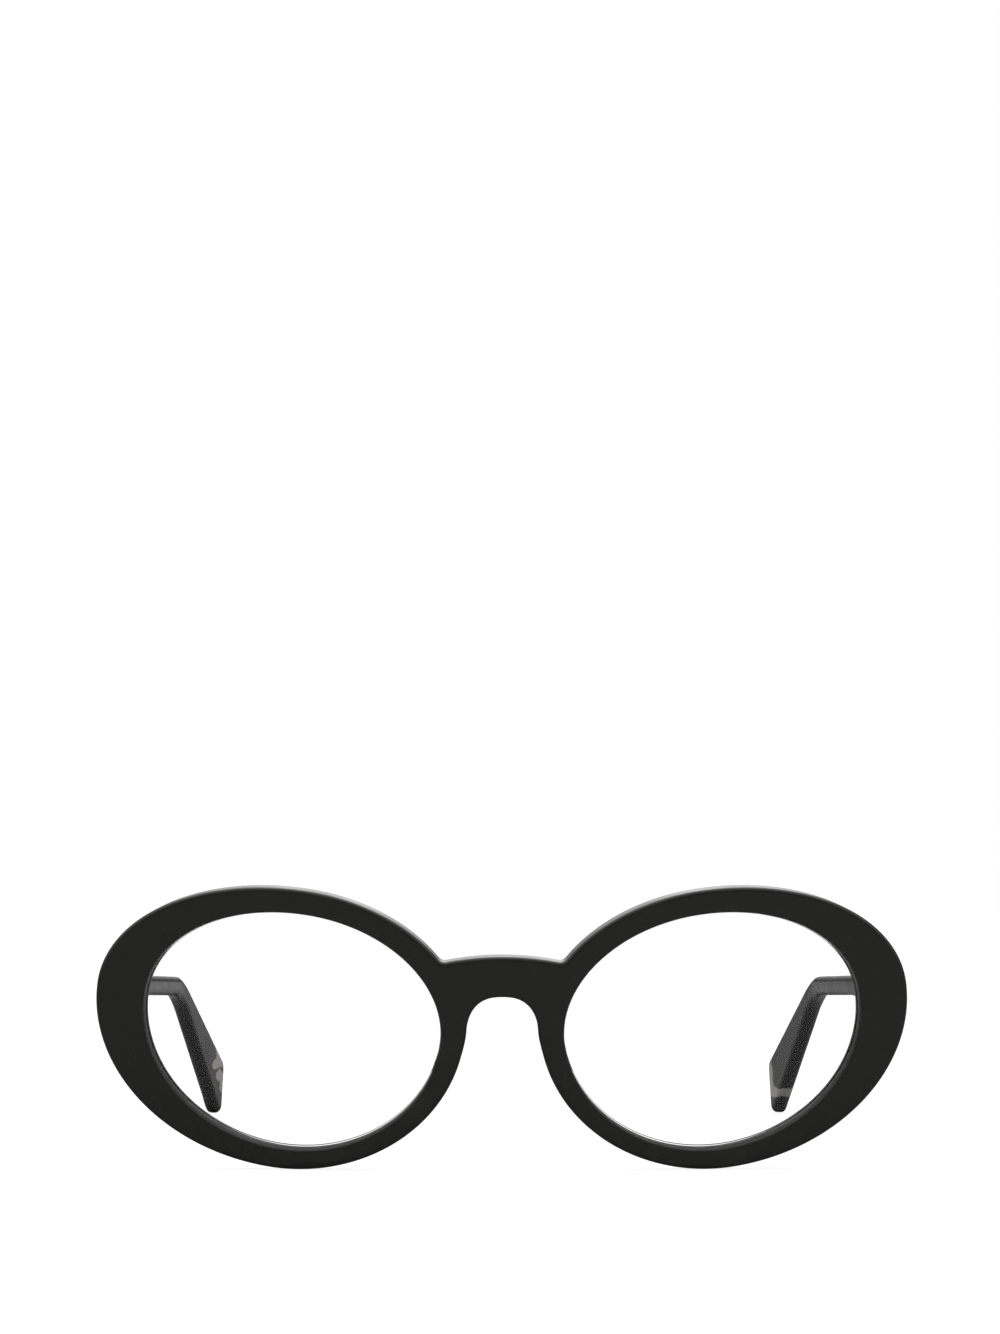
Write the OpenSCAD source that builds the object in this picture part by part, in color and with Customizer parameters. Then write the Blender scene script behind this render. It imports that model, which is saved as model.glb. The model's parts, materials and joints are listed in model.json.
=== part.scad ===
// Oval acetate eyeglasses, standing open on a table: a bent front with two clear lenses,
// and two arms that fold on five-barrel hinges.
// +X is the wearer's left, +Y runs back along the arms and +Z is up. The origin is at the
// bottom centre of the whole object. Left and right are the wearer's.

/* [Front] */
// Radius of the sideways bend of the front's face
face_r = 340; // [280:10:480]
// Thickness of the front's sheet
front_t = 4.2; // [3.6:0.1:5.2]
// Forward lean of the front's top on a level table, in degrees
lean = 6; // [3:0.5:8]

/* [Rim outline, measured along the flat sheet] */
// Middle of the bridge to the centre of a rim
rim_x = 36.4; // [34:0.1:44]
// Height of the rim's centre above the front's middle
rim_z = 2.6; // [1:0.1:4]
// Reach of the rim from its centre towards the arm
rim_out = 34.2; // [32:0.1:42]
// Reach of the rim towards the nose
rim_in = 30.2; // [29:0.1:31]
// Reach of the rim upwards
rim_top = 21.6; // [20.6:0.1:26]
// Reach of the rim downwards
rim_bottom = 26.6; // [25:0.1:30]
// Tilt of the rim's oval, outer end up, in degrees
rim_tilt = 8.2; // [5:0.1:11]

/* [Lens opening, measured along the flat sheet] */
// Middle of the bridge to the centre of the opening
open_x = 35.6; // [34.8:0.1:37]
// Height of the opening's centre
open_z = 1.7; // [1:0.1:3]
// Reach of the opening towards the arm
open_out = 26.5; // [22:0.1:27.5]
// Reach of the opening towards the nose
open_in = 25.2; // [21:0.1:25.4]
// Reach of the opening upwards
open_top = 18.2; // [15:0.1:18.6]
// Reach of the opening downwards
open_bottom = 22.2; // [18:0.1:22.6]
// Tilt of the opening's oval, in degrees
open_tilt = 10; // [7:0.1:12]

/* [Bridge] */
// Height of the bridge's top edge at its middle
bridge_top = 12.9; // [11:0.1:15]
// Radius of the bridge's arched top edge
bridge_arc_r = 50; // [30:1:80]
// Half width of the bridge's sheet, up to where it is inside the rims
bridge_reach = 13; // [11:0.5:15]
// Half width of the nose arch
nose_w = 6.2; // [5.6:0.1:7]
// Height of the nose arch's crown
nose_top = 5.9; // [4:0.1:7]
// Height at which the nose arch meets the rims
nose_spring = -1.5; // [-3:0.1:0]
// Squareness of the nose arch: 2 is an ellipse
nose_power = 2.5; // [2:0.1:3]
// Fillet in the corners between bridge and rims
corner_fillet = 1.5; // [0.3:0.1:2]

/* [Lenses] */
// Radius of the lens's front surface
lens_r = 131; // [110:1:200]
// Thickness of a lens
lens_t = 1.8; // [1.4:0.1:2.2]
// Depth of the groove that holds the lens
groove_d = 0.75; // [0.5:0.05:0.9]
// Thickness of the lens's edge in the groove
edge_t = 0.8; // [0.6:0.05:1.0]
// Clearance of the lens all round
lens_gap = 0.05; // [0.02:0.01:0.1]

/* [Nose pads] */
// Height of a nose pad
pad_h = 13; // [10:0.5:15]
// Width of a nose pad where it is bonded to the front
pad_w = 3.8; // [3:0.1:4.2]
// How far a nose pad stands back from the front
pad_d = 3.8; // [2.5:0.1:5]
// Place of a pad along the rim's nose side, as an angle round the rim's oval
pad_at = 190; // [186:1:196]
// How far a pad's crest flares away from the nose
pad_flare = 1.0; // [0.4:0.1:1.6]

/* [Hinges] */
// Height of one hinge barrel
barrel_h = 1.3; // [1.1:0.05:1.5]
// Outer radius of a hinge barrel
barrel_r = 1.3; // [1.2:0.05:1.5]
// Running gap between two barrels
barrel_gap = 0.06; // [0.04:0.01:0.1]
// Number of barrels, the odd ones on the front
barrels = 5; // [3:2:5]
// Radius of the hinge screw's shank
screw_r = 0.6; // [0.5:0.05:0.7]
// Running clearance of the screw in the barrels
screw_gap = 0.05; // [0.02:0.01:0.08]
// Radius of the screw's head
head_r = 0.95; // [0.85:0.05:1.05]
// Height of the screw's head, sunk in the top barrel
head_h = 0.5; // [0.4:0.05:0.6]
// Height of the nylon ring that stops the screw from working loose
lock_h = 0.8; // [0.6:0.05:0.9]
// Wall of the nylon ring
lock_t = 0.2; // [0.15:0.05:0.25]
// Distance from the hinge pin's axis out to the arm's inner face
pin_inset = 1.7; // [1.65:0.05:2]
// Distance of the hinge's joint plane behind the front's rear face
joint_depth = 4.2; // [3.6:0.1:5]
// Thickness of a hinge plate
plate_t = 1.1; // [0.9:0.05:1.3]
// Depth to which a hinge plate is sunk in the acetate
plate_sink = 0.55; // [0.4:0.05:0.7]
// Length of the hinge plate on the arm
plate_len = 8.5; // [7.5:0.5:11]
// Width of a rivet through hinge plate and arm
rivet_r = 0.55; // [0.5:0.05:0.7]

/* [Arms] */
// Thickness of an arm at its hinge
arm_t = 3.6; // [3.2:0.1:4.4]
// Thickness of an arm at its tip
tip_t = 3.0; // [2.6:0.1:3.4]
// Height of an arm at its hinge
arm_h = 6.8; // [6.8:0.1:8]
// Height of an arm's slim part, up to the ear bend
bend_h = 3.6; // [3.4:0.1:5.6]
// Distance behind the hinge joint at which an arm has become slim
slim_at = 38; // [25:1:50]
// Inset of the arm's outer face from the front's widest point
arm_inset = 1.3; // [1:0.1:2]
// Length of an arm from its hinge to the ear bend
arm_len = 97; // [80:1:112]
// How far the straight part falls towards the ear bend
arm_fall = 2.7; // [0:0.1:4]
// How far the straight part leans in towards the ear bend
arm_lean = 4.3; // [0:0.1:6]
// Gap between the front's end block and the arm
joint_gap = 0.1; // [0.05:0.05:0.2]

/* [Ear tips] */
// Slope of the ear tip's underside, in degrees
tip_slope = 37.5; // [30:0.5:44]
// Angle at which the ear tip turns in behind the ear, in degrees
tip_turn = 9.5; // [0:0.5:15]
// Height of the tip's end
tip_end_h = 10; // [8:0.5:12]
// Backward slant of the tip's end, in degrees
tip_slant = 14; // [0:1:25]
// Radius of the tip's lowest corner
tip_r = 1.7; // [1.2:0.1:2.2]
// Radius of the tip's upper corner
tip_top_r = 2.2; // [1:0.1:3]
// Inner radius of the ear bend
bend_r = 22; // [8:1:26]

/* [Core wires] */
// Thickness of the metal core inside an arm
core_t = 1.0; // [0.8:0.1:1.2]
// Height of the metal core
core_h = 1.8; // [1.4:0.1:2.2]
// Where the core starts behind the hinge joint
core_start = 11; // [10:0.5:14]
// Bare acetate between the core and the end of the tip
core_end = 14; // [10:1:20]

/* [Hidden] */

black = [0.10, 0.10, 0.095];
havana = [0.30, 0.25, 0.22];
steel = [0.72, 0.71, 0.68];
clear = [0.85, 0.90, 0.92, 0.35];
nylon = [0.20, 0.35, 0.65];

face_fn = 240;
round_fn = 48;
oval_steps = 72;
arc_steps = 6;
past = 20;

// Points and vectors
function unit(v) = v / norm(v);
function cross_z(a, b) = a.x * b.y - a.y * b.x;
function on_circle(centre, r, angle) = centre + r * [cos(angle), sin(angle)];

// Points of the fillet of radius r at corner b, on the way from a to c
function corner_arc(a, b, c, r) =
    let (
        u = unit(a - b),
        v = unit(c - b),
        half = acos(u * v) / 2,
        centre = b + unit(u + v) * r / sin(half),
        from = b + u * r / tan(half) - centre,
        to = b + v * r / tan(half) - centre,
        start = atan2(from.y, from.x),
        turn = asin(cross_z(from, to) / (r * r))
    )
    [for (i = [0:arc_steps]) on_circle(centre, r, start + turn * i / arc_steps)];

// An oval with its own reach in each of four directions, tilted about its centre
function oval_point(centre, out, in, top, bottom, tilt, angle) =
    let (
        across = (cos(angle) > 0 ? out : in) * cos(angle),
        up = (sin(angle) > 0 ? top : bottom) * sin(angle)
    )
    centre + [across * cos(tilt) - up * sin(tilt), across * sin(tilt) + up * cos(tilt)];
function oval(centre, out, in, top, bottom, tilt) =
    [for (i = [0:oval_steps - 1])
        oval_point(centre, out, in, top, bottom, tilt, 360 * i / oval_steps)];

// Where a point of the flat sheet lies sideways and backwards once the sheet is bent
function bent_x(along) = face_r * sin(along / face_r * 180 / PI);
function bent_y(along) = face_r * (1 - cos(along / face_r * 180 / PI));

// The rim's outline on the flat sheet, and as it is seen from straight ahead once bent
flat_rim = oval([rim_x, rim_z], rim_out, rim_in, rim_top, rim_bottom, rim_tilt);
rim_points = [for (p = flat_rim) [bent_x(p.x), p.y]];

// The front's lowest, widest and foremost points, which place everything else
function stood_z(p) = p.y * cos(lean) + bent_y(p.x) * sin(lean);
function stood_y(p) = bent_y(p.x) * cos(lean) - p.y * sin(lean);
front_z = -min([for (p = flat_rim) stood_z(p)]);
half_w = max([for (p = rim_points) p.x]);
widest = [for (p = flat_rim) if (bent_x(p.x) > half_w - 0.001) p][0];
front_y0 = min([for (p = flat_rim) stood_y(p)]);

// Hinge axis and joint plane, before the object is centred front to back
arm_x = half_w - arm_inset;
inner_x = arm_x - arm_t;
pin_x = inner_x - pin_inset;
hinge_z = front_z + stood_z(widest);
rear_r = face_r - front_t;
rear_y = (face_r - sqrt(rear_r * rear_r - pin_x * pin_x)) * cos(lean)
    - (hinge_z - front_z) * tan(lean);
joint_y = rear_y + joint_depth;

// Side view of an arm, in distances back and up
slope = [cos(tip_slope), -sin(tip_slope)];
root_low = [joint_y + joint_gap, hinge_z - arm_h / 2];
root_top = [joint_y + joint_gap, hinge_z + arm_h / 2];
bend_low = [joint_y + arm_len, hinge_z - arm_fall - bend_h / 2];
bend_top = bend_low + [bend_h * tan(tip_slope / 2), bend_h];
slim_top = root_top + (bend_top - root_top) * slim_at / (bend_top.x - root_top.x);
slim_low = slim_top - [0, bend_h];
tip_touch_z = tip_r - tip_r * cos(tip_slope);
tip_touch = [bend_low.x + (bend_low.y - tip_touch_z) / tan(tip_slope), tip_touch_z];
tip_centre = [tip_touch.x + tip_r * sin(tip_slope), tip_r];
end_dir = [sin(tip_slant), cos(tip_slant)];
end_low = on_circle(tip_centre, tip_r, -tip_slant);
end_top = end_low + end_dir * (tip_end_h - end_low.y) / cos(tip_slant);

arm_side = concat(
    [root_top, root_low, slim_low],
    corner_arc(slim_low, bend_low, tip_touch, bend_r),
    [for (i = [0:arc_steps])
        on_circle(tip_centre, tip_r, -90 - tip_slope + (90 + tip_slope - tip_slant) * i / arc_steps)],
    corner_arc(end_low, end_top, bend_top, tip_top_r),
    corner_arc(end_top, bend_top, root_top, bend_r + bend_h)
);

// Halfway from the foremost point of the front to the rearmost point of the ear tips
mid_y = (front_y0 + max([for (p = arm_side) p.x])) / 2;

// Plan view of an arm, from where its outer and inner faces are at the hinge and at the bend
turn_r = 60;
tip_len = 60;
function plan_turn(x) = [x - arm_lean, joint_y + arm_len];
function plan_end(x) = plan_turn(x) + tip_len * [-sin(tip_turn), cos(tip_turn)];
function plan_face(x_root, x_bend) =
    concat(
        [[x_root, joint_y]],
        tip_turn > 0
            ? corner_arc([x_root, joint_y], plan_turn(x_bend), plan_end(x_bend), turn_r)
            : [plan_turn(x_bend)],
        [plan_end(x_bend)]
    );
function reversed(list) = [for (i = [len(list) - 1:-1:0]) list[i]];
function arm_plan(outer, inner) =
    concat(plan_face(outer[0], outer[1]), reversed(plan_face(inner[0], inner[1])));

// The front's sheet from ahead
nose_points = [for (i = [0:2 * arc_steps + 8])
    let (
        angle = 180 * i / (2 * arc_steps + 8),
        c = cos(angle),
        s = sin(angle)
    )
    [
        nose_w * sign(c) * pow(abs(c), 2 / nose_power),
        nose_spring + (nose_top - nose_spring) * pow(abs(s), 2 / nose_power)
    ]];
bridge_points = [for (i = [-arc_steps:arc_steps])
    let (x = (bridge_reach - 3) * i / arc_steps)
    [x, bridge_top - bridge_arc_r + sqrt(bridge_arc_r * bridge_arc_r - x * x)]];

module in_front_frame() {
    translate([0, -mid_y, front_z])
        rotate([lean, 0, 0])
            children();
}

// Origin on the front's face at the lens's centre, with +Y straight back through the lens
module in_lens_frame() {
    in_front_frame()
        translate([bent_x(open_x), bent_y(open_x), 0])
            rotate([0, 0, open_x / face_r * 180 / PI])
                children();
}

module on_side(side) {
    mirror([side == "right" ? 1 : 0, 0, 0])
        children();
}

// Extrudes a shape seen from ahead along +Y
module extrude_back(from, to) {
    translate([0, to, 0])
        rotate([90, 0, 0])
            linear_extrude(to - from)
                children();
}

// The bent sheet between two depths behind the face
module sheet(from, to) {
    translate([0, face_r, -50])
        difference() {
            cylinder(r = face_r - from, h = 100, $fn = face_fn);
            translate([0, 0, -1])
                cylinder(r = face_r - to, h = 102, $fn = face_fn);
        }
}

// All that lies behind the front's rear face
module behind_front() {
    in_front_frame()
        translate([0, face_r, -50])
            cylinder(r = rear_r, h = 100, $fn = face_fn);
}

module bridge_shape() {
    polygon(concat(
        [[bridge_reach, nose_spring], [bridge_reach, bridge_top - 3]],
        reversed(bridge_points),
        [[-bridge_reach, bridge_top - 3], [-bridge_reach, nose_spring]],
        reversed(nose_points)
    ));
}

module front_shape() {
    offset(r = -corner_fillet, $fn = round_fn)
        offset(delta = corner_fillet)
            union() {
                bridge_shape();
                polygon(rim_points);
                mirror([1, 0])
                    polygon(rim_points);
            }
}

// The lens opening grown by a margin, in the lens's own frame
module opening_shape(margin) {
    polygon(oval([0, open_z], open_out + margin, open_in + margin,
        open_top + margin, open_bottom + margin, open_tilt));
}

// A shell with the lens's curve between two depths behind its front surface
module lens_shell(from, to) {
    translate([0, lens_r, open_z])
        difference() {
            sphere(r = lens_r - from, $fn = face_fn);
            sphere(r = lens_r - to, $fn = face_fn);
        }
}

module lens_edge(margin, slack) {
    intersection() {
        lens_shell((lens_t - edge_t) / 2 - slack, (lens_t + edge_t) / 2 + slack);
        extrude_back(-1, past)
            opening_shape(margin);
    }
}

module lens(side) {
    color(clear)
        on_side(side)
            in_lens_frame() {
                intersection() {
                    lens_shell(0, lens_t);
                    extrude_back(-1, past)
                        opening_shape(-lens_gap);
                }
                lens_edge(groove_d - lens_gap, 0);
            }
}

module front_frame() {
    color(black)
        difference() {
            in_front_frame()
                intersection() {
                    sheet(0, front_t);
                    extrude_back(-1, past)
                        front_shape();
                }
            for (side = ["right", "left"])
                on_side(side) {
                    in_lens_frame() {
                        extrude_back(-5, past)
                            opening_shape(0);
                        lens_edge(groove_d, lens_gap);
                    }
                    front_plate();
                }
        }
}

// Middle of the rim's band, between its edge and the lens opening, at an angle round its oval
function band_at(angle) =
    (oval_point([rim_x, rim_z], rim_out, rim_in, rim_top, rim_bottom, rim_tilt, angle)
    + oval_point([open_x, open_z], open_out, open_in, open_top, open_bottom, open_tilt, angle)) / 2;
pad_from = band_at(pad_at - 10);
pad_to = band_at(pad_at + 10);
pad_tilt = atan2(pad_to.x - pad_from.x, pad_from.y - pad_to.y);

// A slice of a pad at a depth behind its seat, on the band and leaning along with it
module pad_slice(depth, size, flare) {
    extrude_back(front_t + depth - 0.2, front_t + depth)
        translate(band_at(pad_at) + [flare, 0])
            rotate(pad_tilt)
                polygon([for (i = [0:31]) [
                    pad_w / 2 * size * cos(i * 11.25),
                    pad_h / 2 * size * sin(i * 11.25)
                ]]);
}

module nose_pad(side) {
    color(black)
        intersection() {
            behind_front();
            on_side(side)
                in_front_frame()
                    hull() {
                        pad_slice(-0.5, 1, 0);
                        pad_slice(pad_d * 0.5, 0.88, pad_flare * 0.5);
                        pad_slice(pad_d * 0.85, 0.66, pad_flare * 0.85);
                        pad_slice(pad_d, 0.4, pad_flare);
                    }
        }
}

// Fills the corner between the front's rear face and the arm
module end_block(side) {
    color(black)
        intersection() {
            behind_front();
            on_side(side)
                translate([inner_x, rear_y - mid_y - 2, hinge_z - arm_h / 2])
                    cube([arm_t, joint_y - rear_y + 2, arm_h]);
        }
}

// Hinge: barrels stand on one vertical pin, and every second one belongs to the front
pitch = barrel_h + barrel_gap;
stack_h = barrels * pitch - barrel_gap;
function barrel_z(i) = hinge_z - stack_h / 2 + i * pitch;
neck = 2 * barrel_r - 0.4;

module at_pin(z) {
    translate([pin_x, joint_y - mid_y, z])
        children();
}

module barrel(i, hole_r, to_front) {
    at_pin(barrel_z(i))
        difference() {
            union() {
                cylinder(r = barrel_r, h = barrel_h, $fn = round_fn);
                if (to_front)
                    translate([-neck / 2, -joint_depth + 0.4, 0])
                        cube([neck, joint_depth - 0.4, barrel_h]);
                else
                    barrel_web();
            }
            translate([0, 0, -1])
                cylinder(r = hole_r, h = barrel_h + 2, $fn = round_fn);
        }
}

// Joins a barrel to the arm's plate
module barrel_web() {
    translate([0, joint_gap, 0])
        cube([pin_inset, barrel_r, barrel_h]);
}

// Front plate: sunk in the rear face under the barrels, with two pegs that grip the acetate
front_plate_w = 3.4;
peg_r = 0.5;
peg_len = 1.2;
module front_plate() {
    translate([pin_x - front_plate_w / 2, rear_y - mid_y - plate_sink, hinge_z - stack_h / 2])
        cube([front_plate_w, plate_t, stack_h]);
    for (up = [-1, 1])
        translate([pin_x, rear_y - mid_y - plate_sink - peg_len, hinge_z + up * stack_h / 4])
            rotate([-90, 0, 0])
                cylinder(r = peg_r, h = peg_len + 0.1, $fn = round_fn);
}

module front_hinge(side) {
    color(steel)
        on_side(side)
            difference() {
                union() {
                    front_plate();
                    for (i = [0:2:barrels - 1])
                        barrel(i, screw_r + (i == 0 ? screw_gap / 2 : screw_gap), true);
                }
                at_pin(barrel_z(barrels - 1) + barrel_h - head_h)
                    cylinder(r = head_r + screw_gap, h = head_h + 1, $fn = round_fn);
            }
}

// Nylon ring in a waist of the screw, gripping the bore of the lowest barrel
lock_low = 0.25;
lock_fit = 0.005;
module lock_ring(inner, outer) {
    at_pin(barrel_z(0) + lock_low)
        difference() {
            cylinder(r = outer, h = lock_h, $fn = round_fn);
            translate([0, 0, -1])
                cylinder(r = inner, h = lock_h + 2, $fn = round_fn);
        }
}

module screw_lock(side) {
    color(nylon)
        on_side(side)
            lock_ring(screw_r - lock_t + lock_fit, screw_r + screw_gap / 2 - lock_fit);
}

// Screw with a slotted head, driven down through all barrels
slot_w = 0.3;
module hinge_screw(side) {
    color(steel)
        on_side(side)
            difference() {
                union() {
                    at_pin(barrel_z(0))
                        cylinder(r = screw_r, h = stack_h - 0.1, $fn = round_fn);
                    at_pin(barrel_z(barrels - 1) + barrel_h - head_h)
                        cylinder(r = head_r, h = head_h, $fn = round_fn);
                }
                at_pin(hinge_z + stack_h / 2 - head_h / 2)
                    translate([-2, -slot_w / 2, 0])
                        cube([4, slot_w, 2]);
                lock_ring(screw_r - lock_t, screw_r + 1);
            }
}

// Plate on the arm's inner face, clear of the front's barrels when the arm folds
plate_h = stack_h - 2 * barrel_h;
plate_from = barrel_r - 0.2;
rivets_at = [plate_from + 2.6, plate_from + plate_len - 1.9];

module arm_plate() {
    translate([inner_x - plate_t + plate_sink, joint_y - mid_y + plate_from, hinge_z - plate_h / 2])
        cube([plate_t, plate_len, plate_h]);
    for (i = [1:2:barrels - 2])
        at_pin(barrel_z(i))
            translate([pin_inset - plate_t + plate_sink, joint_gap, 0])
                cube([plate_t - plate_sink, plate_from + 1, barrel_h]);
}

module at_rivets(x) {
    for (back = rivets_at)
        translate([x, joint_y - mid_y + back, hinge_z])
            rotate([0, 90, 0])
                children();
}

rivet_in = 0.25;
rivet_head_r = 0.85;
rivet_head_h = 0.35;

module temple_hinge(side) {
    color(steel)
        on_side(side)
            difference() {
                union() {
                    arm_plate();
                    for (i = [1:2:barrels - 2])
                        barrel(i, screw_r + screw_gap, false);
                }
                at_rivets(inner_x - 5)
                    cylinder(r = rivet_r, h = 10, $fn = round_fn);
            }
}

module rivet_bodies() {
    inner_end = inner_x - plate_t + plate_sink - rivet_in;
    at_rivets(inner_end)
        cylinder(r = rivet_r, h = arm_x - inner_end - 0.3, $fn = round_fn);
    at_rivets(inner_end)
        cylinder(r = rivet_head_r, h = rivet_in, $fn = round_fn);
    at_rivets(arm_x - 0.3 - rivet_head_h)
        cylinder(r = rivet_head_r, h = rivet_head_h, $fn = round_fn);
}

module temple_rivets(side) {
    color(steel)
        on_side(side)
            rivet_bodies();
}

// Solid between the arm's side view and its plan view
module side_by_plan(outer, inner) {
    translate([0, -mid_y, 0])
        intersection() {
            translate([pin_x - 30, 0, 0])
                rotate([90, 0, 90])
                    linear_extrude(60)
                        children();
            translate([0, 0, -5])
                linear_extrude(hinge_z + 30)
                    polygon(arm_plan(outer, inner));
        }
}

// The core runs along the middle of the arm, through the bend and down the tip
core_root = (root_top + root_low + (slim_top + slim_low - root_top - root_low) * core_start / slim_at) / 2;
core_slim = (slim_top + slim_low) / 2;
core_bend = (bend_low + bend_top) / 2;
core_tip = (tip_centre + end_top) / 2;
core_stop = core_tip - unit(core_tip - core_bend) * core_end;

// Its outline in the side view: a line drawn at a distance beside the core's middle line
function beside(a, b) = let (d = unit(b - a)) [-d.y, d.x];
function mitre(a, b, c, away) =
    let (n = beside(a, b), m = beside(b, c)) b + (n + m) * away / (1 + n * m);
function core_edge(away) = [
    core_root + beside(core_root, core_slim) * away,
    mitre(core_root, core_slim, core_bend, away),
    mitre(core_slim, core_bend, core_stop, away),
    core_stop + beside(core_bend, core_stop) * away
];

module core_line() {
    mid_r = bend_r + bend_h / 2;
    high = core_edge(core_h / 2);
    low = core_edge(-core_h / 2);
    polygon(concat(
        [high[0], high[1]],
        corner_arc(high[1], high[2], high[3], mid_r + core_h / 2),
        [high[3], low[3]],
        corner_arc(low[3], low[2], low[1], mid_r - core_h / 2),
        [low[1], low[0]]
    ));
}

core_outer = [arm_x - (arm_t - core_t) / 2, arm_x - (tip_t - core_t) / 2];

module core_body() {
    side_by_plan(core_outer, core_outer - [core_t, core_t])
        core_line();
}

module core_wire(side) {
    color(steel)
        on_side(side)
            core_body();
}

module temple(side) {
    color(havana)
        on_side(side)
            difference() {
                side_by_plan([arm_x, arm_x], [inner_x, arm_x - tip_t])
                    polygon(arm_side);
                arm_plate();
                rivet_bodies();
                core_body();
            }
}

front_frame();
lens("right");  // lens_right
lens("left");  // lens_left
nose_pad("right");  // nose_pad_right
nose_pad("left");  // nose_pad_left
end_block("right");  // end_block_right
end_block("left");  // end_block_left
front_hinge("right");  // front_hinge_right
front_hinge("left");  // front_hinge_left
hinge_screw("right");  // hinge_screw_right
hinge_screw("left");  // hinge_screw_left
screw_lock("right");  // screw_lock_right
screw_lock("left");  // screw_lock_left
temple("right");  // temple_right
temple("left");  // temple_left
temple_hinge("right");  // temple_hinge_right
temple_hinge("left");  // temple_hinge_left
temple_rivets("right");  // temple_rivets_right
temple_rivets("left");  // temple_rivets_left
core_wire("right");  // core_wire_right
core_wire("left");  // core_wire_left
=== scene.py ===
"""Oval acetate eyeglasses with clear lenses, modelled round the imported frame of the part."""

import json
import math

import bmesh
import bpy
from mathutils import Matrix, Vector


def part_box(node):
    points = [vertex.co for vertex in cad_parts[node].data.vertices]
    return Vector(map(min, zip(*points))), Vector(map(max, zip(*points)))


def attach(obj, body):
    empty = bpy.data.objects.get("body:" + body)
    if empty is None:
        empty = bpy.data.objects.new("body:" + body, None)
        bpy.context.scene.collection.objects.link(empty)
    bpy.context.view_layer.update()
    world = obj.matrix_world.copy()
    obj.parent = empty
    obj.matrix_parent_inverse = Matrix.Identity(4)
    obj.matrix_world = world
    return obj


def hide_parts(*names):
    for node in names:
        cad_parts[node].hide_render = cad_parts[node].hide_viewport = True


bl_info = {
    "name": "Oval acetate eyeglasses",
    "version": (1, 0, 0),
    "blender": (4, 5, 0),
    "location": "3D View > Sidebar > Eyeglasses",
    "description": "Models oval acetate eyeglasses with folding arms, and a stage to show them on",
    "category": "Add Mesh",
}

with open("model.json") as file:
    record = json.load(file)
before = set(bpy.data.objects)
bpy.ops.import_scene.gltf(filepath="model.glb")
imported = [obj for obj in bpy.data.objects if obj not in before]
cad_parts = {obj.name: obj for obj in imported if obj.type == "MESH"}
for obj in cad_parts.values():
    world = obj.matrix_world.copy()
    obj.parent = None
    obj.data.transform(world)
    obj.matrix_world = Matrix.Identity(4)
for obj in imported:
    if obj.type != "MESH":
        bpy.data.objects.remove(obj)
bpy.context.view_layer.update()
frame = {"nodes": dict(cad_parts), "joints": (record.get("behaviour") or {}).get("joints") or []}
FRONT_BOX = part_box("front_frame")
ARM_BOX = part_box("temple_left")
BLOCK_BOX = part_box("end_block_left")
# Where the left arm's hinge turns
PIN = Vector(next(j["pos_m"] for j in frame["joints"] if j["name"] == "fold_left"))
TINY = 1e-6
NUDGE = 0.001  # a small turn along an oval, for its direction there
FINE_R = 0.00015  # rounding of an edge that is only broken
FATTEN = 1.2  # points on the lens's edge move out by less than they are told
CORNER = 1.09  # a bevel across a corner that isn't square comes out flatter than an arc
# Pale chips in the arms' acetate: place and size along x, y and z, in millimetres
CHIPS = (
    ((-55.5, 71.0, 12.8), (4.0, 5.2, 3.6)),
    ((-55.5, 67.0, 15.6), (4.0, 4.2, 2.8)),
    ((-55.5, 65.5, 10.0), (3.0, 3.2, 1.1)),
    ((-55.5, 69.0, 7.6), (3.0, 3.2, 1.2)),
    ((-55.5, 72.0, 5.2), (3.0, 2.6, 1.2)),
    ((56.0, 73.2, 6.8), (3.0, 4.6, 4.0)),
    ((56.0, 68.0, 4.3), (6.0, 8.0, 1.2)),
)


# Sizes and colours that a user would change

def length(name, description, mm):
    return bpy.props.FloatProperty(
        name=name, description=description, default=mm / 1000, subtype="DISTANCE",
        unit="LENGTH", precision=5)


def angle(name, description, degrees):
    return bpy.props.FloatProperty(
        name=name, description=description, default=math.radians(degrees), subtype="ANGLE",
        unit="ROTATION")


def amount(name, description, default):
    return bpy.props.FloatProperty(name=name, description=description, default=default)


def count(name, description, default):
    return bpy.props.IntProperty(name=name, description=description, default=default, min=1)


def colour(name, description, value):
    return bpy.props.FloatVectorProperty(
        name=name, description=description, default=value, subtype="COLOR", size=3, min=0, max=1)


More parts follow.
